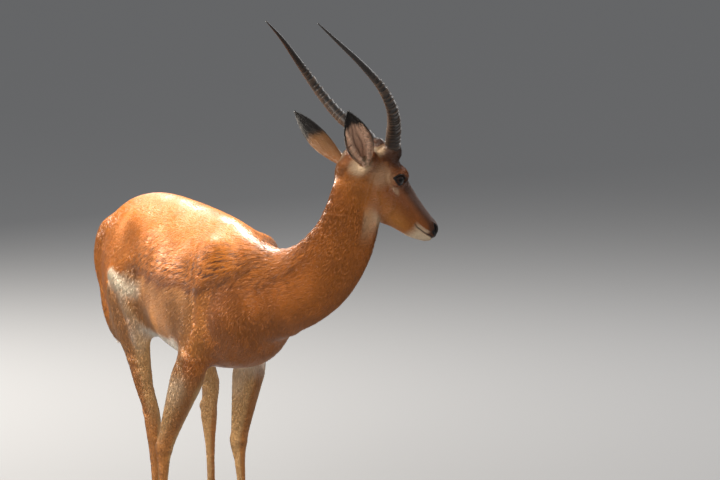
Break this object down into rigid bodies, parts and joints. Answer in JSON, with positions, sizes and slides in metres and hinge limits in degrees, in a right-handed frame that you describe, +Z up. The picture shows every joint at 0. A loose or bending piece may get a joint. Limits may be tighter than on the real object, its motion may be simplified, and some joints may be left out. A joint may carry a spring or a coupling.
{
  "type": "impala antelope",
  "caption": "Life-size still model of an impala ram standing with its head turned and raised, with lyre-shaped ridged horns, long ears and slim cloven-hoofed legs.",
  "frame": {"origin": "floor level, under the middle of the model's box", "axes": "+Z up from the soles, +X forwards along the trunk, +Y to the animal's left, the side its head is turned to"},
  "size_m": [1.1806, 0.5542, 1.3778],
  "materials": {
    "coat_back": "short glossy hair, reddish brown",
    "coat_neck": "short hair, tan brown",
    "coat_head": "very short hair, brown",
    "coat_leg": "very short hair, pale tan",
    "ear": "thin haired skin, matt",
    "tail": "long hair, off-white with a dark stripe",
    "eye": "wet gloss, near black",
    "horn": "satin keratin, ridged",
    "hoof": "satin keratin, black"
  },
  "bodies": {
    "root": {"trunk": "coat_back", "neck": "coat_neck", "head": "coat_head", "ear_left": "ear", "ear_right": "ear", "eye_left": "eye", "eye_right": "eye", "horn_left": "horn", "horn_right": "horn", "foreleg_left": "coat_leg", "foreleg_right": "coat_leg", "hindleg_left": "coat_leg", "hindleg_right": "coat_leg", "tail": "tail", "hoof_fore_left_left_toe": "hoof", "hoof_fore_left_right_toe": "hoof", "hoof_fore_right_left_toe": "hoof", "hoof_fore_right_right_toe": "hoof", "hoof_hind_left_left_toe": "hoof", "hoof_hind_left_right_toe": "hoof", "hoof_hind_right_left_toe": "hoof", "hoof_hind_right_right_toe": "hoof"}
  },
  "joints": []
}
